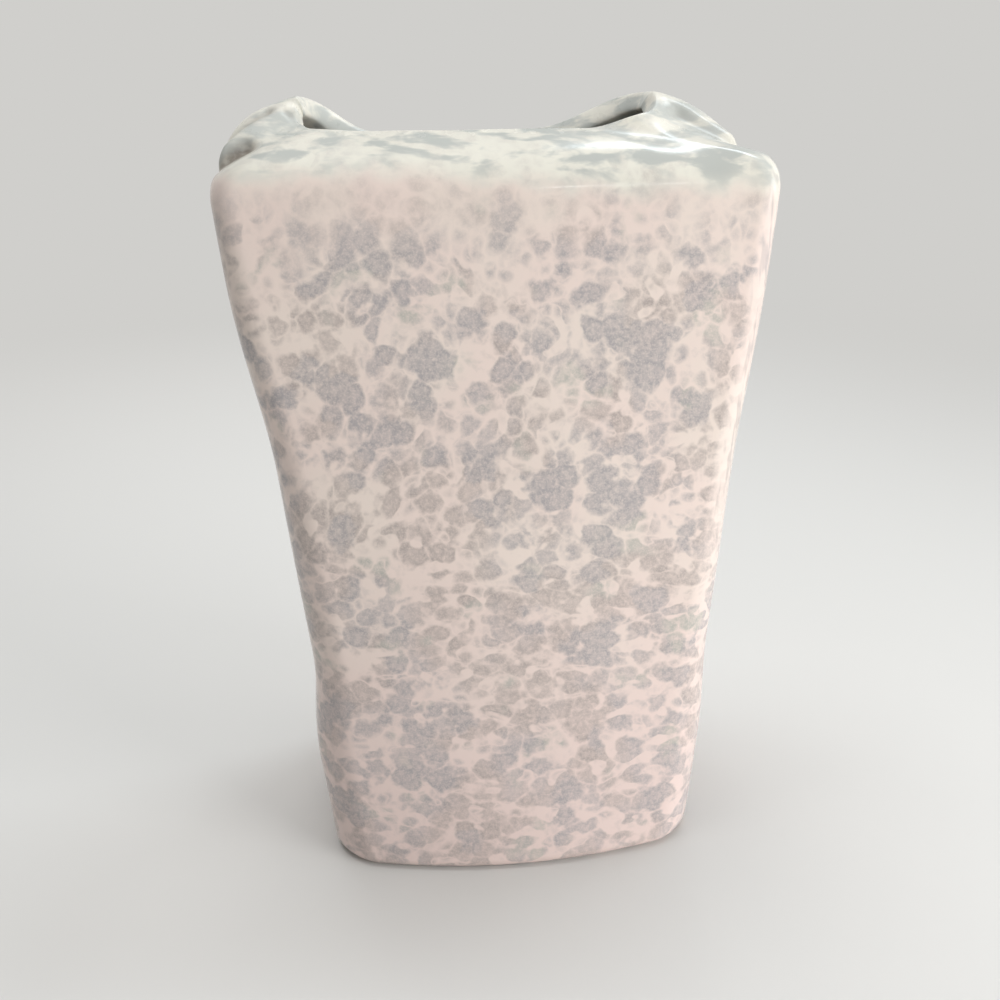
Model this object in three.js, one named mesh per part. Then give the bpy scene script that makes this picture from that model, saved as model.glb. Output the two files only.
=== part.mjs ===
// A slab-built fan vase of glazed pottery. A deep rounded foot flattens upward into a wide thin top, and the
// mouth is a slit in a sloping shoulder, pinched up at both ends.
// Millimetres, +Z up. The front faces -Y, and the origin is the middle of the underside.
import * as THREE from 'three';

const { lerp, smoothstep } = THREE.MathUtils;

// Body, measured over the outside
const topWidth = 109; // corner to corner where the walls end
const footWidth = 74.5;
const topDepth = 37; // at the corners, so without the bow
const footDepth = 53;
const wallTop = 134; // where the walls end and the shoulder starts to turn in
const topBow = 1; // how far the front and back swell between their corners
const footBow = 6;
const sideBulge = 2.5; // how far the two sides swell near the foot
const sidePinch = 4; // how far they fold in at the top
const pinchGrowth = 1.7; // the swelling turns into the fold with this power of the height
const leftWaist = 2.8; // how far the left side is drawn in about half way up
const rightWaist = 1.5;
const waistStart = [0.16, 0.34]; // shares of the wall's height between which the sides draw in
const waistEnd = [0.62, 0.9]; // and between which they come out again
const cornerRadius = 7.5;
const footRounding = 2.5;

// Clay
const wallThickness = 4.5;
const floorThickness = 6;
const shoulderThickness = 3.6;
const slipJoint = 0.3; // the layer of slip between two slabs

// Mouth
const rimLength = 69; // the slit over the outer edge of its rim
const rimWidth = 17;
const rimCorner = 6.5;
const mouthShift = -3; // the slit sits a little left of the middle
const lipRise = 12; // the rim in the middle of the slit, above the walls
const peakRise = 6.5; // the rim at the pinched ends, above its middle
const frontLeftRise = 0.8; // how far the front rim climbs toward the ends
const frontRightRise = 2.5;
const frontRiseStart = 20; // from the middle of the slit to where the front rim starts to climb
const backLeftStart = 20; // the same for the back rim, which climbs all the way to the peaks
const backRightStart = 12;
const foldWidth = 30; // front to back over the hump behind each pinched end

// Shoulder profile as shares of its rise and run: [climb of the wall line, run of the bend, height of the bend]
const shoulderBend = [0.44, 0.3, 0.7];
const leftFoldBend = [0.8, 0.25, 0.85];
const rightFoldBend = [0.2, 0.25, 0.85];

// How finely the curved faces are cut
const cornerSteps = 5; // half of one corner
const sideSteps = 14;
const wallRows = 11;
const shoulderRows = 12;
const lipSteps = 6;

const loopSteps = 2 * cornerSteps + sideSteps; // one side of the vase, from seam to seam
const loopLength = 4 * loopSteps;
const sides = ['front', 'right', 'back', 'left'];

// One side of a rounded rectangle as [along, outward] pairs, from the middle of one corner to the next.
function sidePoints(halfLength, outward, radius) {
  const points = [];
  const straight = halfLength - radius;
  for (let i = 0; i < cornerSteps; i++) {
    const turn = (Math.PI / 4) * (1 - i / cornerSteps);
    points.push([-straight - radius * Math.sin(turn), outward - radius * (1 - Math.cos(turn))]);
  }
  for (let i = 0; i <= sideSteps; i++) {
    points.push([straight * ((2 * i) / sideSteps - 1), outward]);
  }
  for (let i = 1; i < cornerSteps; i++) {
    const turn = (Math.PI / 4) * (i / cornerSteps);
    points.push([straight + radius * Math.sin(turn), outward - radius * (1 - Math.cos(turn))]);
  }
  return points;
}

// A rounded rectangle whose sides swell by their bow, counter-clockwise from the front left corner.
function outline(halfWidth, halfDepth, radius, frontBow, sideBow) {
  const front = sidePoints(halfWidth, halfDepth, radius);
  const right = sidePoints(halfDepth, halfWidth, radius);
  const loop = [
    ...front.map(([along, out]) => new THREE.Vector2(along, -out)),
    ...right.map(([along, out]) => new THREE.Vector2(out, along)),
    ...front.map(([along, out]) => new THREE.Vector2(-along, out)),
    ...right.map(([along, out]) => new THREE.Vector2(-out, -along)),
  ];
  return loop.map(({ x, y }) => {
    const widen = 1 + (sideBow / halfWidth) * (1 - (y / halfDepth) ** 2);
    const deepen = 1 + (frontBow / halfDepth) * (1 - (x / halfWidth) ** 2);
    return new THREE.Vector2(x * widen, y * deepen);
  });
}

const at = (loop, i) => loop[(i + loop.length) % loop.length];

// The same loop moved inward, square to itself.
function inset(loop, distance) {
  return loop.map((point, i) => {
    const along = at(loop, i + 1).clone().sub(at(loop, i - 1)).normalize();
    return new THREE.Vector2(point.x - along.y * distance, point.y + along.x * distance);
  });
}

// The body at one height, as a level loop a distance inside its outer face.
function bodyLoop(height, depthInside = 0) {
  const share = height / wallTop;
  const fold = share ** pinchGrowth;
  const halfWidth = lerp(footWidth, topWidth, share) / 2;
  const loop = outline(
    halfWidth,
    lerp(footDepth, topDepth, share) / 2,
    cornerRadius,
    lerp(footBow, topBow, share),
    lerp(sideBulge, -sidePinch, fold),
  );
  const drawIn = smoothstep(share, ...waistStart) * (1 - smoothstep(share, ...waistEnd));
  for (const point of loop) {
    const waist = point.x < 0 ? leftWaist : rightWaist;
    point.x *= 1 - (waist * drawIn) / halfWidth;
  }
  return inset(loop, depthInside).map(({ x, y }) => new THREE.Vector3(x, y, height));
}

// Height of the rim at a point of its outer edge, measured from the middle of the slit.
function rimHeight(x, y) {
  const distance = Math.abs(x);
  const frontRise = x < 0 ? frontLeftRise : frontRightRise;
  const backStart = x < 0 ? backLeftStart : backRightStart;
  const front = frontRise * smoothstep(distance, frontRiseStart, rimLength / 2);
  const back = peakRise * smoothstep(distance, backStart, rimLength / 2);
  return wallTop + lipRise + lerp(front, back, smoothstep(y / rimWidth, -0.45, 0.05));
}

// The outer edge of the rim.
function rimLoop() {
  return outline(rimLength / 2, rimWidth / 2, rimCorner, 0, 0).map(
    ({ x, y }) => new THREE.Vector3(x + mouthShift, y, rimHeight(x, y)),
  );
}

// The curve of the shoulder over one point of the outline, from the wall top to the rim.
function shoulderCurve(below, edge, rim) {
  const hump = Math.max(0, 1 - (2 * edge.y / foldWidth) ** 2);
  const foldBend = edge.x < 0 ? leftFoldBend : rightFoldBend;
  const [climb, run, height] = shoulderBend.map((value, i) => lerp(value, foldBend[i], hump));
  const rise = rim.z - edge.z;
  const up = edge.clone().sub(below).normalize();
  const leave = edge.clone().addScaledVector(up, rise * climb);
  const arrive = edge.clone().lerp(rim, run).setZ(edge.z + rise * height);
  return new THREE.CubicBezierCurve3(edge, leave, arrive, rim);
}

// Outer face of the shoulder: one row of points from wall to rim for every point of the outline.
function shoulderFace() {
  const start = wallTop + slipJoint;
  const below = bodyLoop(wallTop - 1);
  const edge = bodyLoop(wallTop).map((point) => point.setZ(start));
  const rim = rimLoop();
  return edge.map((point, i) => shoulderCurve(below[i], point, rim[i]).getPoints(shoulderRows));
}

// Cross sections of the shoulder slab, each a ring: up the outer face, round the lip and back underneath.
function shoulderSections() {
  const face = shoulderFace();
  return face.map((row, i) => {
    const outer = [];
    const under = [];
    let outward;
    let onward;
    row.forEach((point, j) => {
      const last = Math.min(j + 1, shoulderRows);
      onward = row[last].clone().sub(row[Math.max(j - 1, 0)]).normalize();
      const around = at(face, i + 1)[j].clone().sub(at(face, i - 1)[j]);
      outward = around.cross(onward);
      if (j === 0) {
        outward.setZ(0);
      }
      outward.normalize();
      outer.push(point);
      under.unshift(point.clone().addScaledVector(outward, -shoulderThickness));
    });
    const radius = shoulderThickness / 2;
    const centre = row[shoulderRows].clone().addScaledVector(outward, -radius);
    const lip = [];
    for (let k = 1; k < lipSteps; k++) {
      const turn = (Math.PI * k) / lipSteps;
      const point = centre.clone().addScaledVector(outward, radius * Math.cos(turn));
      lip.push(point.addScaledVector(onward, radius * Math.sin(turn)));
    }
    return [...outer, ...lip, ...under];
  });
}

// Cross sections of the walls, each a ring: up the outer face and down the inner one.
function wallSections() {
  const bottom = floorThickness + slipJoint;
  const heights = Array.from({ length: wallRows }, (_, row) => lerp(bottom, wallTop, row / (wallRows - 1)));
  const outer = heights.map((height) => bodyLoop(height));
  const inner = heights.map((height) => bodyLoop(height, wallThickness)).reverse();
  return outer[0].map((_, i) => [...outer.map((loop) => loop[i]), ...inner.map((loop) => loop[i])]);
}

// The run of cross sections between two seams, drawn back from each seam by half the slip joint.
function betweenSeams(sections, side) {
  const run = [];
  for (let i = 0; i <= loopSteps; i++) {
    run.push(sections[(side * loopSteps + i) % loopLength].map((point) => point.clone()));
  }
  const drawBack = (section, next) => {
    section.forEach((point, j) => {
      point.addScaledVector(next[j].clone().sub(point).normalize(), slipJoint / 2);
    });
  };
  drawBack(run[0], run[1]);
  drawBack(run[loopSteps], run[loopSteps - 1]);
  return run;
}

function geometryOf(points, faces) {
  const geometry = new THREE.BufferGeometry();
  geometry.setFromPoints(points);
  geometry.setIndex(faces.flat());
  return geometry;
}

// A slab from its cross sections: skin between neighbouring rings and a cap on the first and the last.
function slabGeometry(sections) {
  const size = sections[0].length;
  const faces = [];
  const quad = (a, b, c, d) => faces.push([a, b, c], [a, c, d]);
  for (let i = 0; i + 1 < sections.length; i++) {
    for (let j = 0; j < size; j++) {
      const next = (j + 1) % size;
      quad(i * size + j, (i + 1) * size + j, (i + 1) * size + next, i * size + next);
    }
  }
  const last = (sections.length - 1) * size;
  for (let j = 0; j + 1 < size - 1 - j; j++) {
    const far = size - 1 - j;
    if (j + 1 === far - 1) {
      faces.push([j, j + 1, far], [last + j, last + far, last + j + 1]);
    } else {
      quad(j, j + 1, far - 1, far);
      quad(last + far, last + far - 1, last + j + 1, last + j);
    }
  }
  return geometryOf(sections.flat(), faces);
}

// The floor slab: the full outline of the foot, its lower edge rounded off, flat above and below.
function floorGeometry() {
  const loops = [];
  for (let k = 0; k <= cornerSteps; k++) {
    const turn = (Math.PI / 2) * (k / cornerSteps);
    const height = footRounding * (1 - Math.cos(turn));
    loops.push(bodyLoop(height, footRounding * (1 - Math.sin(turn))));
  }
  loops.push(bodyLoop(floorThickness));
  const points = loops.flat();
  const faces = [];
  const bottom = points.push(new THREE.Vector3(0, 0, 0)) - 1;
  const top = points.push(new THREE.Vector3(0, 0, floorThickness)) - 1;
  const upper = (loops.length - 1) * loopLength;
  for (let i = 0; i < loopLength; i++) {
    const next = (i + 1) % loopLength;
    for (let row = 0; row < upper; row += loopLength) {
      faces.push([row + i, row + next, row + loopLength + next]);
      faces.push([row + i, row + loopLength + next, row + loopLength + i]);
    }
    faces.push([bottom, next, i], [top, upper + i, upper + next]);
  }
  return geometryOf(points, faces);
}

const spongedGlaze = { color: 0xe2d6cd, roughness: 0.16, metalness: 0 };
const shoulderGlaze = { color: 0xe0ddd0, roughness: 0.16, metalness: 0 };
const bareClay = { color: 0xd8c8b6, roughness: 0.8, metalness: 0 };

const vase = new THREE.Group();
vase.name = 'fan_vase';

function addPiece(name, geometry, finish) {
  geometry.computeVertexNormals();
  const piece = new THREE.Mesh(geometry, new THREE.MeshStandardMaterial(finish));
  piece.name = name;
  vase.add(piece);
}

addPiece('floor_slab', floorGeometry(), bareClay);

const walls = wallSections();
sides.forEach((side, i) => {
  addPiece(`${side}_wall`, slabGeometry(betweenSeams(walls, i)), spongedGlaze);
});

// The shoulder slabs over the front and back, and the folds pinched up over the two sides
const shoulders = shoulderSections();
sides.forEach((side, i) => {
  const name = side === 'front' || side === 'back' ? `${side}_shoulder` : `${side}_mouth_fold`;
  addPiece(name, slabGeometry(betweenSeams(shoulders, i)), shoulderGlaze);
});

export default vase;
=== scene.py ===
"""Looks of the glazed fan vase: hand-built clay with a pinched mouth, sponged glaze, light and camera.

Metres, +Z up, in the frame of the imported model: the front faces -Y, and the origin is the middle of the
underside.
"""
import math
from collections import namedtuple

import bpy
import numpy as np
from mathutils import Matrix, Vector, noise


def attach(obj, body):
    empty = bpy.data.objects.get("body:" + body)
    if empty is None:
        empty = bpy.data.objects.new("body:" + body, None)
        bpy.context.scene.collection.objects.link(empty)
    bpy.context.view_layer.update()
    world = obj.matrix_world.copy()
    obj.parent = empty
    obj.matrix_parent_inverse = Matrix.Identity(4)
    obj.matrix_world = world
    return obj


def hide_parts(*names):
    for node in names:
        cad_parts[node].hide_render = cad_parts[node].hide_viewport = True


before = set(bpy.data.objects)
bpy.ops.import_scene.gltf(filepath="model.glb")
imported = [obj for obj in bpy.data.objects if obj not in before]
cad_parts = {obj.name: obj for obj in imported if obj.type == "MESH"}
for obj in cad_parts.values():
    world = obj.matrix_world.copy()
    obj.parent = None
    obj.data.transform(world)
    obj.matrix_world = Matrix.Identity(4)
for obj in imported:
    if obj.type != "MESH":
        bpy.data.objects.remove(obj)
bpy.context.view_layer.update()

MM = 0.001

# Body, measured over the outside
TOP_WIDTH = 109 * MM
FOOT_WIDTH = 74.5 * MM
TOP_DEPTH = 37 * MM
FOOT_DEPTH = 53 * MM
WALL_TOP = 134 * MM
TOP_BOW = 1 * MM
FOOT_BOW = 6 * MM
SIDE_BULGE = 2.5 * MM
SIDE_PINCH = 4 * MM
PINCH_GROWTH = 1.7
LEFT_WAIST = 2.8 * MM
RIGHT_WAIST = 1.5 * MM
WAIST_START = (0.16, 0.34)  # shares of the wall's height between which the sides draw in
WAIST_END = (0.62, 0.9)  # and between which they come out again
CORNER_RADIUS = 7.5 * MM
FOOT_ROUNDING = 2.5 * MM

# Clay
WALL_THICKNESS = 4.5 * MM
SHOULDER_THICKNESS = 3.6 * MM
FLOOR_THICKNESS = 6 * MM
SLIP_JOINT = 0.3 * MM
THINNING_SPAN = 5 * MM  # height above the wall top over which the clay thins to the shoulder's
UNEVENNESS = 0.5 * MM  # how far the hand-pressed faces wander inward
UNEVEN_SPAN = 22 * MM
EVEN_FOOT = 20 * MM  # height over which the unevenness grows from nothing
BARE_HEIGHT = 0.2 * MM  # faces wholly below this are bare clay

# Mouth
RIM_LENGTH = 69 * MM
RIM_WIDTH = 17 * MM
RIM_CORNER = 6.5 * MM
MOUTH_SHIFT = -3 * MM
LIP_RISE = 12 * MM
PEAK_RISE = 6.5 * MM
FRONT_LEFT_RISE = 0.8 * MM
FRONT_RIGHT_RISE = 2.5 * MM
FRONT_RISE_START = 20 * MM
BACK_LEFT_START = 20 * MM
BACK_RIGHT_START = 12 * MM
RISE_TURN = (-0.45, 0.05)  # shares of the rim's width between which the front's rise turns into the back's
FOLD_WIDTH = 30 * MM
SLIT_LENGTH = 65.6 * MM
SLIT_WIDTH = 10 * MM
SLIT_CORNER = 4.2 * MM
SLIT_SHIFT = -3.6 * MM
FRONT_LIP_DROP = 2.5 * MM  # from the top of the lip down to the edge of the slit
BACK_LIP_DROP = 3.5 * MM
DROP_TURN = (-0.4, 0.3)  # shares of the slit's width between which the one drop turns into the other
LIP_REACH = 1.1 * MM  # how far the lip stands past the rim
LIP_EDGE = 0.6  # one rounds the lip fully, less leaves it flat with rounded edges

# Bends of the shoulder's curve from the wall top to the rim, in shares of its rise and run: how far its
# first handle follows the wall, and how far across and how high its second one stands
SHOULDER_BEND = np.array([0.44, 0.3, 0.7])
LEFT_FOLD_BEND = np.array([0.8, 0.25, 0.85])
RIGHT_FOLD_BEND = np.array([0.2, 0.25, 0.85])
FRONT_CORNER_BEND = np.array([0.84, 0.73, 0.5])  # of the front right corner
FRONT_CORNER_START = 33 * MM
FRONT_CORNER_END = 51 * MM

# Creases pressed into the clay, in mm: the points that each follows, its depth, its half width, and how
# strongly painted shade darkens its colour, from nothing to one
Crease = namedtuple("Crease", "path depth half_width brown")
CREASES = (
    Crease(
        path=[(35, -5.5, 149), (38, -7.5, 147.5), (41, -9.3, 146), (44, -10.5, 144.3), (47, -10, 142)],
        depth=1.7,
        half_width=1.6,
        brown=0.3,
    ),
    Crease(
        path=[(47, -10, 142), (47.5, -4, 144.5), (47.5, 3, 145), (47, 9, 143)],
        depth=1.8,
        half_width=2,
        brown=0.25,
    ),
    Crease(
        path=[(-42, -3.2, 150), (-45, -4.9, 148.7), (-47, -6, 147.2), (-48.5, -7, 145.5)],
        depth=0.9,
        half_width=1.1,
        brown=0.3,
    ),
    Crease(
        path=[(-45.5, -10.3, 144), (-48.5, -11.3, 142.2), (-50.3, -11.3, 140.5), (-51.5, -10, 137.5)],
        depth=1.3,
        half_width=1.7,
        brown=0.9,
    ),
    Crease(path=[(-36.3, -5, 148), (-38.5, -3.5, 150)], depth=0.5, half_width=0.6, brown=0.4),
    Crease(path=[(-36.3, -3.5, 149.5), (-37.5, -1, 151.3)], depth=0.4, half_width=0.6, brown=0.4),
)

# How finely the faces are cut
CORNER_STEPS = 10
BROAD_STEPS = 96
NARROW_STEPS = 56
FOOT_ROWS = 8
WALL_ROWS = 100
SHOULDER_ROWS = 56
LIP_STEPS = 14
BASE_RINGS = 6

# Large sponge marks on the front, in mm: across, up, half width, half height
FRONT_MARKS = (
    (-37, 130, 2.5, 3), (-26, 128, 4.5, 5.5), (-17, 126, 4.5, 3), (-22, 124, 3.5, 2.5), (-35, 121, 4, 2.5),
    (-21, 118, 4, 2.5), (-14, 106, 4.5, 4.5), (-25, 106, 2.5, 3.5), (-36, 105, 4, 3.5), (-31, 100, 6, 5),
    (-40, 100, 4.5, 1.5), (-15, 99, 3, 3), (-6, 112, 3.5, 3), (1, 112, 4.5, 2.5), (0, 132, 2.5, 4.5),
    (17, 125, 4.5, 2), (34, 125, 2, 3), (41, 120, 3, 3.5), (35, 116, 3, 3), (9, 121, 2, 2.5),
    (15, 117, 3.5, 2), (18, 111, 5, 3.5), (26, 110, 6.5, 3), (32, 110, 3, 3), (26, 103, 5, 4),
    (17, 102, 3.5, 3), (0, 104, 4, 3), (37, 96, 3.5, 4), (17, 92, 2.5, 2.5), (23, 89, 2.5, 2.5),
    (8, 82, 5.5, 4.5), (-2, 78, 2.5, 3), (18, 81, 3.5, 4), (27, 82, 4, 3.5), (22, 76, 4, 3.5),
    (18, 70, 4.5, 4), (16, 64, 3, 2.5), (34, 70, 2.5, 2.5), (2, 64, 3.5, 3), (27, 57, 4, 3.5),
    (19, 52, 5, 2.5), (4, 55, 4.5, 3), (-28, 84, 3, 2.5), (-22, 93, 4, 3.5), (-26, 89, 3.5, 2.5),
    (-14, 89, 4, 2.5), (-6, 87, 3.5, 4.5), (-4, 78, 4.5, 2.5), (-32, 74, 2.5, 3.5), (-32, 52, 3.5, 3),
    (-23, 53, 2.5, 3), (14, 48, 5.5, 4), (34, 40, 3, 4), (-36, 36, 3.5, 4), (-24, 36, 3.5, 3),
    (-11, 34, 3.5, 3), (-23, 22, 3, 3.5), (-15, 22, 2.5, 3.5), (2, 28, 3.5, 2), (17, 28, 3, 3),
    (10, 17, 3, 3.5), (29, 13, 3.5, 4), (33, 22, 3, 3), (-11, 7, 3, 3), (7, 6, 3, 2.5), (-33, 13, 3, 3),
)
SCATTER_SEED = 4
SCATTER_AREA = 170  # square millimetres of wall for each scattered mark on the other three sides
SCATTER_HALF_HEIGHT = (1.8, 4)
SCATTER_STRETCH = (0.9, 1.6)  # width over height
FAR_FROM_MARKS = -6.0

SIDES = ("front", "right", "back", "left")
SIDE_COUNTS = (2 * CORNER_STEPS + BROAD_STEPS, 2 * CORNER_STEPS + NARROW_STEPS) * 2


def lerp(start, end, share):
    return start + (end - start) * share


def smoothstep(value, low, high):
    share = np.clip((value - low) / (high - low), 0, 1)
    return share * share * (3 - 2 * share)


def unit(vectors):
    return vectors / np.linalg.norm(vectors, axis=-1, keepdims=True)


# Surface of the vase


def side_points(half_length, outward, radius, steps):
    """One side of a rounded rectangle as [along, outward] pairs, from one corner's middle to the next."""
    straight = half_length - radius
    turn = np.linspace(math.pi / 4, 0, CORNER_STEPS, endpoint=False)
    first = np.column_stack([-straight - radius * np.sin(turn), outward - radius * (1 - np.cos(turn))])
    middle = np.column_stack([np.linspace(-straight, straight, steps + 1), np.full(steps + 1, outward)])
    last = first[:0:-1] * [-1, 1]
    return np.vstack([first, middle, last])


def outline(half_width, half_depth, radius, front_bow, side_bow):
    """A rounded rectangle whose sides swell by their bow, counter-clockwise from the front left corner."""
    broad = side_points(half_width, half_depth, radius, BROAD_STEPS) * [1, -1]
    narrow = side_points(half_depth, half_width, radius, NARROW_STEPS)[:, ::-1]
    x, y = np.vstack([broad, narrow, -broad, -narrow]).T
    widen = 1 + side_bow / half_width * (1 - (y / half_depth) ** 2)
    deepen = 1 + front_bow / half_depth * (1 - (x / half_width) ** 2)
    return np.column_stack([x * widen, y * deepen])


def body_loop(height, depth_inside=0):
    """The outline of the body at one height, moved inward square to itself."""
    share = height / WALL_TOP
    half_width = lerp(FOOT_WIDTH, TOP_WIDTH, share) / 2
    loop = outline(
        half_width,
        lerp(FOOT_DEPTH, TOP_DEPTH, share) / 2,
        CORNER_RADIUS,
        lerp(FOOT_BOW, TOP_BOW, share),
        lerp(SIDE_BULGE, -SIDE_PINCH, share**PINCH_GROWTH),
    )
    draw_in = smoothstep(share, *WAIST_START) * (1 - smoothstep(share, *WAIST_END))
    loop[:, 0] *= 1 - np.where(loop[:, 0] < 0, LEFT_WAIST, RIGHT_WAIST) * draw_in / half_width
    along = unit(np.roll(loop, -1, axis=0) - np.roll(loop, 1, axis=0))
    inward = np.column_stack([-along[:, 1], along[:, 0]])
    return np.column_stack([loop + inward * depth_inside, np.full(len(loop), height)])


def rim_loop():
    """The outer edge of the rim: a slit, low in the middle and pinched up at its ends."""
    x, y = outline(RIM_LENGTH / 2, RIM_WIDTH / 2, RIM_CORNER, 0, 0).T
    distance = np.abs(x)
    front_rise = np.where(x < 0, FRONT_LEFT_RISE, FRONT_RIGHT_RISE)
    back_start = np.where(x < 0, BACK_LEFT_START, BACK_RIGHT_START)
    front = front_rise * smoothstep(distance, FRONT_RISE_START, RIM_LENGTH / 2)
    back = PEAK_RISE * smoothstep(distance, back_start, RIM_LENGTH / 2)
    rise = lerp(front, back, smoothstep(y / RIM_WIDTH, *RISE_TURN))
    return np.column_stack([x + MOUTH_SHIFT, y, WALL_TOP + LIP_RISE + rise])


def slit_loop(rim):
    """The inner edge of the lip, which lies lower than the rim."""
    x, y = outline(SLIT_LENGTH / 2, SLIT_WIDTH / 2, SLIT_CORNER, 0, 0).T
    drop = lerp(FRONT_LIP_DROP, BACK_LIP_DROP, smoothstep(y / SLIT_WIDTH, *DROP_TURN))
    return np.column_stack([x + SLIT_SHIFT, y, rim[:, 2] - drop])


def shoulder_rows():
    """Rows of the shoulder from the wall top to the rim, a Bezier curve over each point of the outline."""
    below = body_loop(WALL_TOP - MM)
    edge = body_loop(WALL_TOP)
    rim = rim_loop()
    hump = np.clip(1 - (2 * edge[:, 1:2] / FOLD_WIDTH) ** 2, 0, None)
    fold_bend = np.where(edge[:, :1] < 0, LEFT_FOLD_BEND, RIGHT_FOLD_BEND)
    front_corner = smoothstep(edge[:, :1], FRONT_CORNER_START, FRONT_CORNER_END) * (edge[:, 1:2] < 0)
    bend = lerp(SHOULDER_BEND, FRONT_CORNER_BEND, front_corner)
    climb, run, height = np.split(lerp(bend, fold_bend, hump), 3, axis=1)
    rise = rim[:, 2:] - edge[:, 2:]
    leave = edge + unit(edge - below) * rise * climb
    arrive = lerp(edge, rim, run)
    arrive[:, 2:] = edge[:, 2:] + rise * height
    t = np.linspace(0, 1, SHOULDER_ROWS + 1)[:, None, None]
    return (1 - t) ** 3 * edge + 3 * t * (1 - t) ** 2 * leave + 3 * t**2 * (1 - t) * arrive + t**3 * rim


def foot_rows():
    """Rows of the rounded lower edge, from the rest face up to the side."""
    turns = np.linspace(0, math.pi / 2, FOOT_ROWS)
    return np.array(
        [body_loop(FOOT_ROUNDING * (1 - math.cos(t)), FOOT_ROUNDING * (1 - math.sin(t))) for t in turns]
    )


def outward_normals(rows):
    """Unit normals of a grid of rows, each row a closed loop."""
    around = np.roll(rows, -1, axis=1) - np.roll(rows, 1, axis=1)
    onward = np.gradient(rows, axis=0)
    return unit(np.cross(around, onward))


def unevenness(points):
    """How far hand pressing moved each point: always inward, and not at all at the foot."""
    waves = [noise.noise(Vector(point) / UNEVEN_SPAN) for point in points.reshape(-1, 3)]
    waves = np.array(waves).reshape(points.shape[:2])
    return -UNEVENNESS * (0.5 + 0.5 * waves) * smoothstep(points[:, :, 2], 0, EVEN_FOOT)


def crease_share(points, crease):
    """How near each point of a grid lies to a crease: one along its path, fading to nothing beside it."""
    distance = np.full(points.shape[:2], np.inf)
    for start, end in zip(crease.path, crease.path[1:]):
        start = np.array(start) * MM
        run = np.array(end) * MM - start
        share = np.clip((points - start) @ run / (run @ run), 0, 1)
        distance = np.minimum(distance, np.linalg.norm(points - start - share[:, :, None] * run, axis=2))
    return np.exp(-((distance / (crease.half_width * MM)) ** 2))


foot = foot_rows()
wall_heights = np.linspace(FLOOR_THICKNESS + SLIP_JOINT / 2, WALL_TOP, WALL_ROWS + 1)
walls = np.array([body_loop(height) for height in wall_heights])
outer = np.concatenate([foot, walls, shoulder_rows()[1:]])
FOOT_CUT = len(foot)
SHOULDER_CUT = FOOT_CUT + WALL_ROWS
outer += outward_normals(outer) * unevenness(outer)[:, :, None]

# The inner face keeps the thickness of the clay and ends at the slit
inward = -outward_normals(outer)
inward[[FOOT_CUT, SHOULDER_CUT], :, 2] = 0
inward = unit(inward)
thinning = smoothstep(outer[:, :, 2:], WALL_TOP, WALL_TOP + THINNING_SPAN)
inner = (outer + inward * lerp(WALL_THICKNESS, SHOULDER_THICKNESS, thinning))[FOOT_CUT:]
slit = slit_loop(outer[-1])
near_slit = smoothstep(np.arange(len(inner))[:, None, None], len(inner) - SHOULDER_ROWS / 2, len(inner) - 1)
inner += (slit - inner[-1]) * near_slit

# Painted shade: how strongly the colour of each point is darkened in the creases
painted_crease_shade = np.zeros(outer.shape[:2])
for crease in CREASES:
    share = crease_share(outer, crease)
    outer -= outward_normals(outer) * crease.depth * MM * share[:, :, None]
    painted_crease_shade = np.maximum(painted_crease_shade, crease.brown * share)

# The lip rounds over from the outer face to the inner one
lip_turns = np.linspace(0, math.pi, LIP_STEPS + 1)[1:-1, None, None]
lip_across = (1 - np.sign(np.cos(lip_turns)) * np.abs(np.cos(lip_turns)) ** LIP_EDGE) / 2
lip_onward = unit(outer[-1] - outer[-2]) * LIP_REACH * np.sin(lip_turns) ** LIP_EDGE
lip = lerp(outer[-1], slit, lip_across) + lip_onward
skin = np.concatenate([outer, lip, inner[::-1]])
skin_normals = outward_normals(skin)
INNER_CUT = len(skin) - 1 - WALL_ROWS

# Sponge marks


def front_marks():
    """The large marks of the front, each as its middle on the face and its two half sizes."""
    face = walls[:, : SIDE_COUNTS[0]].reshape(-1, 3)
    marks = []
    for across, up, half_width, half_height in FRONT_MARKS:
        nearest = np.hypot(face[:, 0] - across * MM, face[:, 2] - up * MM).argmin()
        marks.append((face[nearest], half_width, half_height))
    return marks


def scattered_marks():
    """Marks of the same sizes over the other three sides."""
    chance = np.random.default_rng(SCATTER_SEED)
    area = WALL_TOP * (TOP_WIDTH + FOOT_WIDTH + 2 * TOP_DEPTH + 2 * FOOT_DEPTH) / 2 / MM**2
    others = walls[:, SIDE_COUNTS[0] :].reshape(-1, 3)
    marks = []
    for middle in chance.choice(others, int(area / SCATTER_AREA)):
        half_height = chance.uniform(*SCATTER_HALF_HEIGHT)
        marks.append((middle, half_height * chance.uniform(*SCATTER_STRETCH), half_height))
    return marks


def depth_in_marks(points, marks):
    """How deep each point lies inside the marks, in millimetres; less than nothing outside them."""
    depth = np.full(len(points), FAR_FROM_MARKS)
    for middle, half_width, half_height in marks:
        x, y, z = ((points - middle) / MM).T
        reach = np.sqrt((x**2 + y**2) / half_width**2 + z**2 / half_height**2)
        depth = np.maximum(depth, (1 - reach) * min(half_width, half_height))
    return depth


marks = front_marks() + scattered_marks()
skin_depth = np.full(skin.shape[:2], FAR_FROM_MARKS)
skin_depth[: len(outer)] = depth_in_marks(outer.reshape(-1, 3), marks).reshape(outer.shape[:2])
skin_crease_shade = np.zeros(skin.shape[:2])
skin_crease_shade[: len(outer)] = painted_crease_shade

# Materials


def srgb(red, green, blue):
    """A colour as a picture shows it, 0 to 255, in the linear values that a shader takes."""
    shares = [channel / 255 for channel in (red, green, blue)]
    linear = [((share + 0.055) / 1.055) ** 2.4 for share in shares]
    return (*linear, 1)


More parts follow.
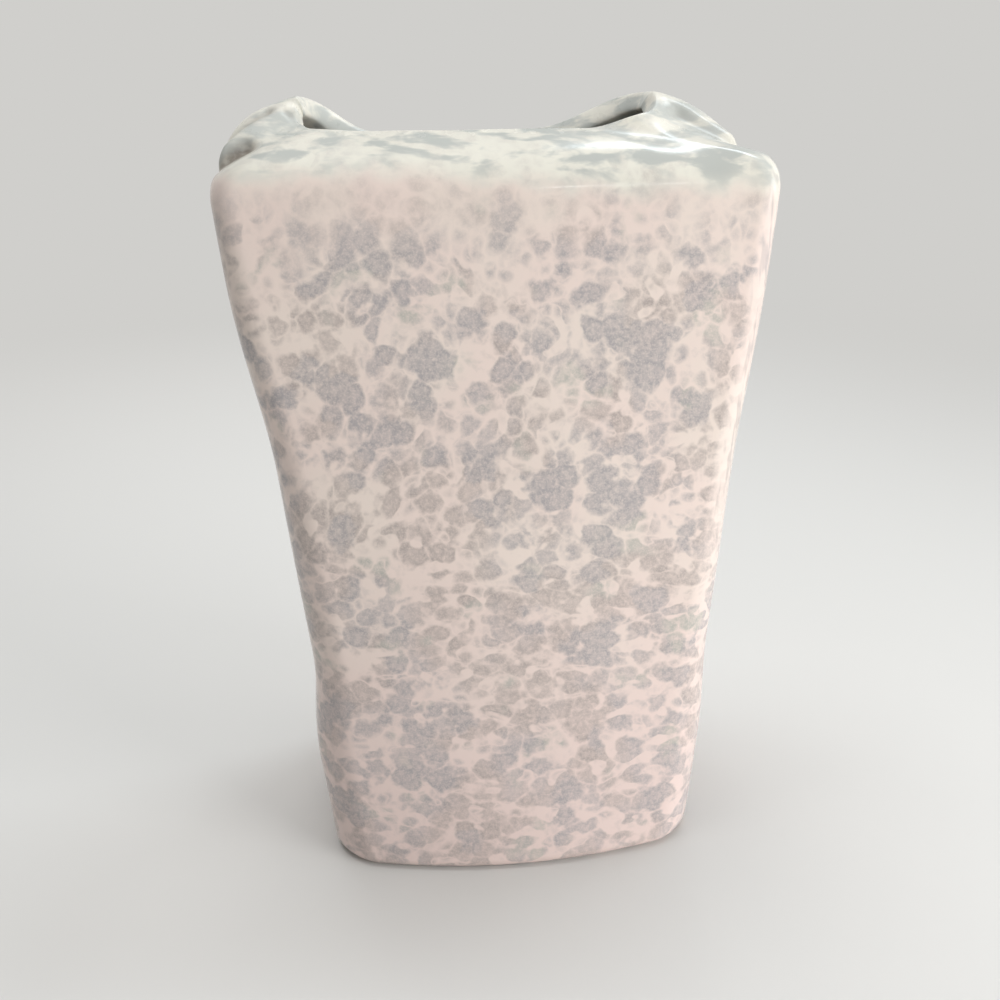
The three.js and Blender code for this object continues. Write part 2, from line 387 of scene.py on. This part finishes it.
def add_node(tree, kind, inputs, **settings):
    """A shader node with its settings, each input a plain value or the socket that feeds it."""
    node = tree.nodes.new("ShaderNode" + kind)
    for name, value in settings.items():
        setattr(node, name, value)
    for name, value in inputs.items():
        if isinstance(value, bpy.types.NodeSocket):
            tree.links.new(value, node.inputs[name])
        else:
            node.inputs[name].default_value = value
    return node


def combine(tree, operation, first, second, third=0.0):
    return add_node(tree, "Math", {0: first, 1: second, 2: third}, operation=operation).outputs[0]


def ramp(tree, value, low, high, start=0.0, end=1.0):
    """A smooth step of a value between two limits."""
    inputs = {"Value": value, "From Min": low, "From Max": high, "To Min": start, "To Max": end}
    return add_node(tree, "MapRange", inputs, interpolation_type="SMOOTHSTEP").outputs["Result"]


def mix_colour(tree, share, first, second):
    return add_node(tree, "Mix", {0: share, 6: first, 7: second}, data_type="RGBA").outputs[2]


def mix_value(tree, share, first, second):
    return add_node(tree, "Mix", {0: share, 2: first, 3: second}, data_type="FLOAT").outputs[0]


def cloud(tree, place, span, detail):
    """Soft noise whose lumps are about as large as the span."""
    return add_node(tree, "TexNoise", {"Vector": place, "Scale": 1 / span, "Detail": detail}).outputs["Fac"]


def warped(tree, place, span, reach):
    """A place moved about by noise."""
    inputs = {"Vector": place, "Scale": 1 / span, "Detail": 1}
    colour = add_node(tree, "TexNoise", inputs).outputs["Color"]
    centred = add_node(tree, "VectorMath", {0: colour, 1: (0.5, 0.5, 0.5)}, operation="SUBTRACT").outputs[0]
    inputs = {0: centred, 1: (reach, reach, reach), 2: place}
    return add_node(tree, "VectorMath", inputs, operation="MULTIPLY_ADD").outputs[0]


def cells(tree, place, size):
    """Round-cornered cells: how far inside one a point lies, in mm, and a chance that is the cell's own."""
    inputs = {"Vector": place, "Scale": 1 / size}
    nearest = add_node(tree, "TexVoronoi", inputs, feature="F1")
    second = add_node(tree, "TexVoronoi", inputs, feature="F2")
    apart = combine(tree, "SUBTRACT", second.outputs["Distance"], nearest.outputs["Distance"])
    chance = add_node(tree, "SeparateColor", {"Color": nearest.outputs["Color"]}).outputs["Red"]
    inside = combine(tree, "MULTIPLY_ADD", nearest.outputs["Distance"], -1, 0.62)
    inside = combine(tree, "SMOOTH_MIN", combine(tree, "MULTIPLY", apart, 0.5), inside, 0.3)
    return combine(tree, "MULTIPLY", inside, size), chance


PINK_WHITE = srgb(230, 213, 204)
WARM_WHITE = srgb(229, 215, 205)
# Painted bounce light and shade: the pinker, slightly darker base colour towards the foot
PAINTED_BOUNCE_PINK = srgb(226, 206, 199)
CREAM = srgb(229, 226, 214)
WARM_GREY = srgb(174, 163, 158)
BLUE_GREY = srgb(168, 163, 164)
GREEN_GREY = srgb(176, 175, 167)
SMEAR_GREY = srgb(184, 187, 182)
# Painted shade: the dark warm grey laid into the creases
CREASE_SHADE_COLOUR = srgb(124, 114, 105)
BUFF_CLAY = srgb(214, 198, 178)
PALE_CLAY = srgb(226, 213, 196)
DARK_GROG = srgb(160, 138, 116)

# Glaze, in mm: each pair is where a change up the vase or across it starts and where it is complete
SPOT_SIZE = 4.3
SMALL_SPOT_SIZE = 3
SPOT_SLANT = math.radians(14)
SPOT_STRETCH = (0.85, 0.9, 1.2)
SPOT_SHIFT = (-20.3, 0, -11.5)  # keeps the middle of the front in place as the spots are turned
SLANT_HEIGHTS = (100, 40)
NARROW_VEIN_HEIGHTS = (40, 90)
BARER_HEIGHTS = (60, 134)
SOFTER_HEIGHTS = (110, 134)
FADE_HEIGHTS = (122, 143)
STREAK_LEAN = math.radians(-35)
STREAK_STRETCH = (1.2, 1.2, 0.25)
STREAK_HEIGHTS = (50, 85)
STREAK_ACROSS = (20, 40)
# Painted bounce light and shade: where the pinker, darker base starts and where it is complete, towards the
# foot
PAINTED_BOUNCE_HEIGHTS = (80, 10)
CREAM_HEIGHTS = (136.5, 141)
CREAM_DROP = (-0.3, 3.4)  # how much lower the cream reaches at the left and at the right
CREAM_DROP_ACROSS = (-15, 20)
SMEAR_HEIGHTS = (137, 143)
SMEAR_STRETCH = (0.5, 1, 1)
SMEAR_ACROSS = (-10, 40)
ROUGH_RIM_HEIGHTS = (142, 147)


def new_material(name):
    """A material with its node tree and its shader."""
    material = bpy.data.materials.new(name)
    material.use_nodes = True
    return material, material.node_tree, material.node_tree.nodes["Principled BSDF"]


def place_in_mm(tree):
    place = add_node(tree, "TexCoord", {}).outputs["Object"]
    return add_node(tree, "VectorMath", {0: place, "Scale": 1 / MM}, operation="SCALE").outputs[0]


def spot_cover(tree, place, height, mark):
    """How thickly the grey lies, from nothing to one: pebble-like spots with bare veins between."""
    # The spots lie longer and slant up to the right lower down
    slant = {"Vector": place, "Rotation": (0, SPOT_SLANT, 0), "Scale": SPOT_STRETCH, "Location": SPOT_SHIFT}
    slanted = add_node(tree, "Mapping", slant).outputs[0]
    inputs = {0: ramp(tree, height, *SLANT_HEIGHTS), 4: place, 5: slanted}
    flow = add_node(tree, "Mix", inputs, data_type="VECTOR").outputs[1]
    flow = warped(tree, flow, 8, 4)
    large, large_chance = cells(tree, warped(tree, flow, 2, 1.2), SPOT_SIZE)
    small, small_chance = cells(tree, warped(tree, flow, 1.2, 0.5), SMALL_SPOT_SIZE)

    # The veins close in the large sponge marks, and elsewhere open into bare patches with small spots
    bare = ramp(tree, cloud(tree, place, 8, 1.5), 0.5, 0.75, 0, 0.8)
    bare = combine(tree, "ADD", bare, ramp(tree, height, *BARER_HEIGHTS, 0, 0.15))
    bare = combine(tree, "ADD", bare, ramp(tree, cloud(tree, flow, 3.5, 0), 0.55, 0.75, 0, 1.4))
    narrow = ramp(tree, height, *NARROW_VEIN_HEIGHTS, -0.3, -0.18)
    vein = combine(tree, "MULTIPLY_ADD", bare, ramp(tree, mark, -1.8, 0.6, 1, 0), narrow)
    vein = combine(tree, "ADD", vein, ramp(tree, cloud(tree, place, 1.5, 1), 0.25, 0.75, -0.25, 0.25))
    vein = combine(tree, "SUBTRACT", vein, ramp(tree, mark, 0, 2, 0, 0.6))
    large = combine(tree, "SUBTRACT", large, vein)
    small = combine(tree, "SUBTRACT", small, ramp(tree, small_chance, 0.4, 0.8, 0.35, 1.2))
    small = combine(tree, "MINIMUM", small, combine(tree, "SUBTRACT", -0.4, large))
    depth = combine(tree, "MAXIMUM", large, small)

    # Each spot has its own tone, and the large marks are the darkest
    patch = ramp(tree, cloud(tree, place, 7, 1), 0.35, 0.65, 0, 0.5)
    tone = combine(tree, "MULTIPLY_ADD", large_chance, 0.5, patch)
    tone = ramp(tree, combine(tree, "ADD", tone, ramp(tree, mark, -0.5, 1)), 0, 1, 0.72, 1)

    # A spot is soft, more so near the top, darkest along its edge and mottled within, on a faint haze
    depth = combine(tree, "MULTIPLY", depth, ramp(tree, height, *SOFTER_HEIGHTS, 1, 0.6))
    cover = combine(tree, "MULTIPLY", ramp(tree, depth, -0.5, 0.7), tone)
    cover = combine(tree, "MULTIPLY", cover, ramp(tree, depth, 0.5, 1.7, 1, 0.8))
    cover = combine(tree, "MULTIPLY", cover, ramp(tree, cloud(tree, place, 1, 2), 0.35, 0.68, 1, 0.68))
    cover = combine(tree, "MULTIPLY", cover, ramp(tree, cloud(tree, place, 0.35, 1), 0.45, 0.7, 1, 0.7))
    cover = combine(tree, "MAXIMUM", cover, ramp(tree, cloud(tree, place, 2, 3), 0.52, 0.75, 0, 0.22))
    return combine(tree, "MULTIPLY", cover, ramp(tree, height, *FADE_HEIGHTS, 1, 0.3))


def corner_streaks(tree, place, across, height):
    """Where the spots thin out round the upright corners at the right, and the slanting streaks there."""
    facing = add_node(tree, "NewGeometry", {}).outputs["Normal"]
    facing = add_node(tree, "SeparateXYZ", {"Vector": facing}).outputs
    corner = combine(tree, "ABSOLUTE", combine(tree, "MULTIPLY", facing["X"], facing["Y"]), 0)
    right = ramp(tree, across, *STREAK_ACROSS, 0, 0.75)
    corner = combine(tree, "MULTIPLY", ramp(tree, corner, 0.15, 0.45), right)
    corner = combine(tree, "MULTIPLY", corner, ramp(tree, height, *STREAK_HEIGHTS))
    lean = {"Vector": place, "Rotation": (0, STREAK_LEAN, 0), "Scale": STREAK_STRETCH}
    leaning = add_node(tree, "Mapping", lean).outputs[0]
    return corner, ramp(tree, cloud(tree, leaning, 1.6, 1), 0.5, 0.68, 0, 0.6)


def shoulder_smears(tree, place, across):
    """Soft grey smears, a little thicker towards the right."""
    stretched = add_node(tree, "Mapping", {"Vector": place, "Scale": SMEAR_STRETCH}).outputs[0]
    smear = cloud(tree, warped(tree, stretched, 6, 3.5), 3.6, 3)
    smear = combine(tree, "ADD", smear, ramp(tree, across, *SMEAR_ACROSS, 0, 0.03))
    return ramp(tree, smear, 0.43, 0.61, 0, 0.95)


def glaze(name):
    """Sponged glaze: grey spots on pinkish white, turning to smeared cream over the shoulder."""
    material, tree, shader = new_material(name)
    place = place_in_mm(tree)
    parts = add_node(tree, "SeparateXYZ", {"Vector": place}).outputs
    across, height = parts["X"], parts["Z"]
    mark = add_node(tree, "Attribute", {}, attribute_name="mark_depth").outputs["Fac"]
    mark = combine(tree, "ADD", mark, ramp(tree, cloud(tree, place, 3, 1), 0.2, 0.8, -1.2, 1.2))
    # Painted shade in the creases, mottled a little
    shade_in_crease = add_node(tree, "Attribute", {}, attribute_name="crease_painted_shade").outputs["Fac"]
    shade_in_crease = combine(tree, "MULTIPLY", shade_in_crease, ramp(tree, cloud(tree, place, 1.5, 3), 0.3, 0.6, 0.6, 1))
    corner, streak = corner_streaks(tree, place, across, height)
    cover = mix_value(tree, corner, spot_cover(tree, place, height, mark), streak)

    # The cream of the shoulder ends at a wandering border that is lower towards the right
    border = combine(tree, "ADD", height, ramp(tree, cloud(tree, place, 9, 2), 0.3, 0.7, -1, 1))
    border = combine(tree, "ADD", border, ramp(tree, across, *CREAM_DROP_ACROSS, *CREAM_DROP))
    upper = ramp(tree, border, *SMEAR_HEIGHTS)
    smear = combine(tree, "MULTIPLY", shoulder_smears(tree, place, across), upper)

    base = mix_colour(tree, ramp(tree, cloud(tree, place, 20, 2), 0.4, 0.62), PINK_WHITE, WARM_WHITE)
    # Painted bounce light and shade: the base turns pinker and a little darker towards the foot
    base = mix_colour(tree, ramp(tree, height, *PAINTED_BOUNCE_HEIGHTS), base, PAINTED_BOUNCE_PINK)
    base = mix_colour(tree, ramp(tree, border, *CREAM_HEIGHTS), base, CREAM)
    grey = mix_colour(tree, ramp(tree, cloud(tree, place, 16, 2), 0.42, 0.58), WARM_GREY, BLUE_GREY)
    grey = mix_colour(tree, ramp(tree, cloud(tree, place, 9, 1), 0.6, 0.72), grey, GREEN_GREY)
    grey = mix_colour(tree, ramp(tree, mark, -0.5, 1, 0, 0.8), grey, BLUE_GREY)
    colour = mix_colour(tree, cover, base, grey)
    colour = mix_colour(tree, smear, colour, SMEAR_GREY)
    # Painted shade: the creases darken towards a dark warm grey
    colour = mix_colour(tree, shade_in_crease, colour, CREASE_SHADE_COLOUR)
    tree.links.new(colour, shader.inputs["Base Color"])

    # The gloss dulls over the shoulder, at the rim, in the creases darkened with painted shade and on the
    # spots
    roughness = ramp(tree, cloud(tree, place, 2.5, 3), 0.3, 0.7, 0.07, 0.12)
    roughness = combine(tree, "MULTIPLY_ADD", upper, 0.07, roughness)
    roughness = combine(tree, "ADD", roughness, ramp(tree, height, *ROUGH_RIM_HEIGHTS, 0, 0.12))
    roughness = combine(tree, "MULTIPLY_ADD", shade_in_crease, 0.8, roughness)
    roughness = combine(tree, "MULTIPLY_ADD", cover, 0.08, roughness)
    tree.links.new(roughness, shader.inputs["Roughness"])
    sunk = combine(tree, "MULTIPLY", cover, -0.25)
    relief = combine(tree, "MULTIPLY_ADD", cloud(tree, place, 1.4, 2), 0.5, sunk)
    bump = add_node(tree, "Bump", {"Height": relief, "Strength": 0.35, "Distance": 0.12 * MM})
    tree.links.new(bump.outputs["Normal"], shader.inputs["Normal"])
    return material


def bare_clay(name):
    """Unglazed buff clay with fine dark grog."""
    material, tree, shader = new_material(name)
    place = place_in_mm(tree)
    clay = mix_colour(tree, ramp(tree, cloud(tree, place, 6, 4), 0.3, 0.7), BUFF_CLAY, PALE_CLAY)
    grog = ramp(tree, cloud(tree, place, 0.7, 1), 0.66, 0.74)
    tree.links.new(mix_colour(tree, grog, clay, DARK_GROG), shader.inputs["Base Color"])
    tree.links.new(ramp(tree, cloud(tree, place, 1.5, 3), 0.3, 0.7, 0.7, 0.9), shader.inputs["Roughness"])
    grain = cloud(tree, place, 0.5, 4)
    bump = add_node(tree, "Bump", {"Height": grain, "Strength": 0.5, "Distance": 0.2 * MM})
    tree.links.new(bump.outputs["Normal"], shader.inputs["Normal"])
    return material


# Pieces


def new_piece(name, points, faces, corner_normals, values, materials, node):
    """A closed mesh with its own normals and named values of its points, riding in place of one node."""
    mesh = bpy.data.meshes.new(name)
    mesh.from_pydata(points, [], faces)
    mesh.polygons.foreach_set("use_smooth", [True] * len(faces))
    mesh.normals_split_custom_set(corner_normals)
    for value_name, value in values.items():
        mesh.attributes.new(value_name, "FLOAT", "POINT").data.foreach_set("value", value)
    for material in materials:
        mesh.materials.append(material)
    piece = bpy.data.objects.new(name, mesh)
    bpy.context.scene.collection.objects.link(piece)
    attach(piece, "root")
    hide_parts(node)
    return piece


def flat_normal(points, face):
    first, second, third = (np.array(points[i]) for i in face[:3])
    return unit(np.cross(second - first, third - first))


def grid_faces(row_count, column_count):
    """Quads of a grid of points, rows one after another."""
    faces = []
    for row in range(row_count - 1):
        for column in range(column_count - 1):
            here = row * column_count + column
            faces.append((here, here + 1, here + column_count + 1, here + column_count))
    return faces


def slab(name, rows, columns, material, node):
    """A slab of the shell: a ring of skin rows between two seams, closed by flat joint faces."""
    pick = np.ix_(rows, columns)
    points = skin[pick].reshape(-1, 3)
    smooth = skin_normals[pick].reshape(-1, 3)
    count = len(columns)
    last = len(rows) - 1
    faces = grid_faces(len(rows), count)
    corner_normals = [smooth[i] for face in faces for i in face]
    joints = []
    for column in range(count - 1):
        joints.append((last * count + column, last * count + column + 1, column + 1, column))
    for row in range(last // 2):
        near, far = row * count, (last - row) * count
        first = (near, near + count, far - count, far)
        joints.append(tuple(dict.fromkeys(first)))
        joints.append(tuple(dict.fromkeys(i + count - 1 for i in reversed(first))))
    for face in joints:
        corner_normals.extend([flat_normal(points, face)] * len(face))
    values = {"mark_depth": skin_depth[pick].ravel(), "crease_painted_shade": skin_crease_shade[pick].ravel()}
    return new_piece(name, points.tolist(), faces + joints, corner_normals, values, [material], node)


def foot_slab(name, glazed, clay, node):
    """The floor of the vase: bare underneath, and glazed round its edge and over its upper face."""
    base = foot[0] * [1, 1, 0]
    under = [base * (ring / BASE_RINGS) for ring in range(1, BASE_RINGS)]
    edge = [*outer[: FOOT_CUT + 1]]
    top = [inner[0] * [1, 1, 0] + [0, 0, wall_heights[0]]]
    rows = np.array(under + edge + top)
    normals = outward_normals(rows)
    normals[: len(under)] = (0, 0, -1)
    normals[len(under) : -1] = skin_normals[: FOOT_CUT + 1]
    count = rows.shape[1]
    points = rows.reshape(-1, 3).tolist()
    smooth = normals.reshape(-1, 3)
    faces = []
    for row, column in np.ndindex(len(rows) - 1, count):
        here = row * count + column
        beside = row * count + (column + 1) % count
        faces.append((here, beside, beside + count, here + count))
    corner_normals = [smooth[i] for face in faces for i in face]
    top_start = (len(rows) - 2) * count
    for index in range(top_start, len(faces)):
        corner_normals[4 * index : 4 * index + 4] = [(0, 0, 1)] * 4
    middle = len(points)
    points.extend([[0, 0, 0], [0, 0, float(wall_heights[0])]])
    last = (len(rows) - 1) * count
    for column in range(count):
        beside = (column + 1) % count
        faces.append((middle, beside, column))
        corner_normals.extend([(0, 0, -1)] * 3)
        faces.append((middle + 1, last + column, last + beside))
        corner_normals.extend([(0, 0, 1)] * 3)
    depth = np.full(len(points), FAR_FROM_MARKS)
    start = len(under) * count
    depth[start : start + (FOOT_CUT + 1) * count] = skin_depth[: FOOT_CUT + 1].ravel()
    values = {"mark_depth": depth, "crease_painted_shade": np.zeros(len(points))}
    piece = new_piece(name, points, faces, corner_normals, values, [glazed, clay], node)
    for polygon in piece.data.polygons:
        top = max(piece.data.vertices[i].co.z for i in polygon.vertices)
        polygon.material_index = int(top < BARE_HEIGHT)
    return piece


sponged_glaze = glaze("sponged_glaze")
shoulder_glaze = glaze("shoulder_glaze")
foot_clay = bare_clay("foot_clay")

foot_slab("floor_slab_glazed", sponged_glaze, foot_clay, "floor_slab")
wall_ring = [*range(FOOT_CUT, SHOULDER_CUT + 1), *range(INNER_CUT, len(skin))]
shoulder_ring = [*range(SHOULDER_CUT, INNER_CUT + 1)]
seam = 0
for side, count in zip(SIDES, SIDE_COUNTS):
    columns = [i % skin.shape[1] for i in range(seam, seam + count + 1)]
    seam += count
    slab(side + "_wall_glazed", wall_ring, columns, sponged_glaze, side + "_wall")
    top_node = side + ("_shoulder" if side in ("front", "back") else "_mouth_fold")
    slab(top_node + "_glazed", shoulder_ring, columns, shoulder_glaze, top_node)

# Floor and background

BACKDROP = srgb(208, 207, 204)
FLOOR_COLOUR = srgb(214, 213, 210)
FLOOR_NEAR = 0.15  # metres from the vase to where the floor starts to fade into the background
FLOOR_FAR = 0.7
FLOOR_SIZE = 8
AMBIENT = 0.32


def seen_directly(tree):
    """One for rays from the camera and for mirror rays, which see the background; nothing for light."""
    path = add_node(tree, "LightPath", {}).outputs
    seen = combine(tree, "MAXIMUM", path["Is Camera Ray"], path["Is Glossy Ray"])
    return combine(tree, "MAXIMUM", seen, path["Is Transmission Ray"])


floor_mesh = bpy.data.meshes.new("floor")
half = FLOOR_SIZE / 2
corners = [(-half, -half, 0), (half, -half, 0), (half, half, 0), (-half, half, 0)]
floor_mesh.from_pydata(corners, [], [(0, 1, 2, 3)])
floor = bpy.data.objects.new("floor", floor_mesh)
bpy.context.scene.collection.objects.link(floor)
floor_material, tree, floor_shader = new_material("pale_floor")
floor_shader.inputs["Base Color"].default_value = FLOOR_COLOUR
floor_shader.inputs["Roughness"].default_value = 0.6
place = add_node(tree, "TexCoord", {}).outputs["Object"]
distance = add_node(tree, "VectorMath", {0: place}, operation="LENGTH").outputs["Value"]
far = combine(tree, "MULTIPLY", ramp(tree, distance, FLOOR_NEAR, FLOOR_FAR), seen_directly(tree))
glow = add_node(tree, "Emission", {"Color": BACKDROP, "Strength": 1.0}).outputs[0]
mixed = add_node(tree, "MixShader", {0: far, 1: floor_shader.outputs[0], 2: glow}).outputs[0]
tree.links.new(mixed, tree.nodes["Material Output"].inputs["Surface"])
floor_mesh.materials.append(floor_material)

world = bpy.data.worlds.new("studio")
world.use_nodes = True
tree = world.node_tree
ambient = tree.nodes["Background"]
ambient.inputs["Color"].default_value = (1, 1, 1, 1)
ambient.inputs["Strength"].default_value = AMBIENT
shown = add_node(tree, "Background", {"Color": BACKDROP, "Strength": 1.0}).outputs[0]
mixed = add_node(tree, "MixShader", {0: seen_directly(tree), 1: ambient.outputs[0], 2: shown}).outputs[0]
tree.links.new(mixed, tree.nodes["World Output"].inputs["Surface"])
bpy.context.scene.world = world
bpy.context.scene.view_settings.view_transform = "Standard"

# Lamps


LAMP_TARGET = Vector((0, 0, 0.1))
WHITE = (1, 1, 1)
COOL_WHITE = (0.85, 0.94, 1)


def softbox(name, place, along, size, power, mirrored=True, colour=WHITE):
    """A soft rectangular lamp that faces the vase, its width laid along a direction."""
    lamp = bpy.data.lights.new(name, "AREA")
    lamp.shape = "RECTANGLE"
    lamp.size, lamp.size_y = size
    lamp.energy = power
    lamp.color = colour
    holder = bpy.data.objects.new(name, lamp)
    holder.visible_glossy = mirrored
    bpy.context.scene.collection.objects.link(holder)
    back = (Vector(place) - LAMP_TARGET).normalized()
    side = (Vector(along) - back * back.dot(Vector(along))).normalized()
    turn = Matrix((side, back.cross(side), back)).transposed().to_4x4()
    holder.matrix_world = Matrix.Translation(place) @ turn


softbox("key", (0.42, -0.34, 0.16), (1, 1, 0), size=(0.25, 0.25), power=1.95, mirrored=False)
softbox("top", (-0.12, 0.05, 0.85), (1, 0, 0), size=(0.4, 0.4), power=2.6, mirrored=False)
softbox("back", (-0.1, 0.8, 0.5), (1, 0, 0), size=(0.8, 0.8), power=3.5, mirrored=False)
strip_along = (0.9, -0.42, -0.24)
softbox("overhead_strip", (0.31, 0.2, 0.85), strip_along, size=(0.34, 0.09), power=1.4, colour=COOL_WHITE)
softbox("right_window", (0.8, -0.25, 0.25), (0, 1, 0), size=(0.4, 0.3), power=1.3)
softbox("front_strip", (0.26, -0.94, 0.62), (1, 0.3, 0), size=(0.25, 0.02), power=0.16)

# Camera, at the photograph's view

FOCUS = 1.03  # focal length over the width of the picture
CAMERA_DISTANCE = 209 * MM
CAMERA_HEIGHT = 146.7 * MM
VASE_TURN = math.radians(5.3)
CAMERA_DIP = math.radians(20)
CAMERA_ROLL = math.radians(-1)

camera_data = bpy.data.cameras.new("camera")
camera_data.sensor_width = 36
camera_data.lens = FOCUS * camera_data.sensor_width
camera_data.clip_start = 0.01
camera = bpy.data.objects.new("camera", camera_data)
bpy.context.scene.collection.objects.link(camera)
swing = Matrix.Rotation(-VASE_TURN, 4, "Z")
aim = Matrix.Rotation(math.pi / 2 - CAMERA_DIP, 4, "X") @ Matrix.Rotation(CAMERA_ROLL, 4, "Z")
camera.matrix_world = swing @ Matrix.Translation((0, -CAMERA_DISTANCE, CAMERA_HEIGHT)) @ aim
bpy.context.scene.camera = camera
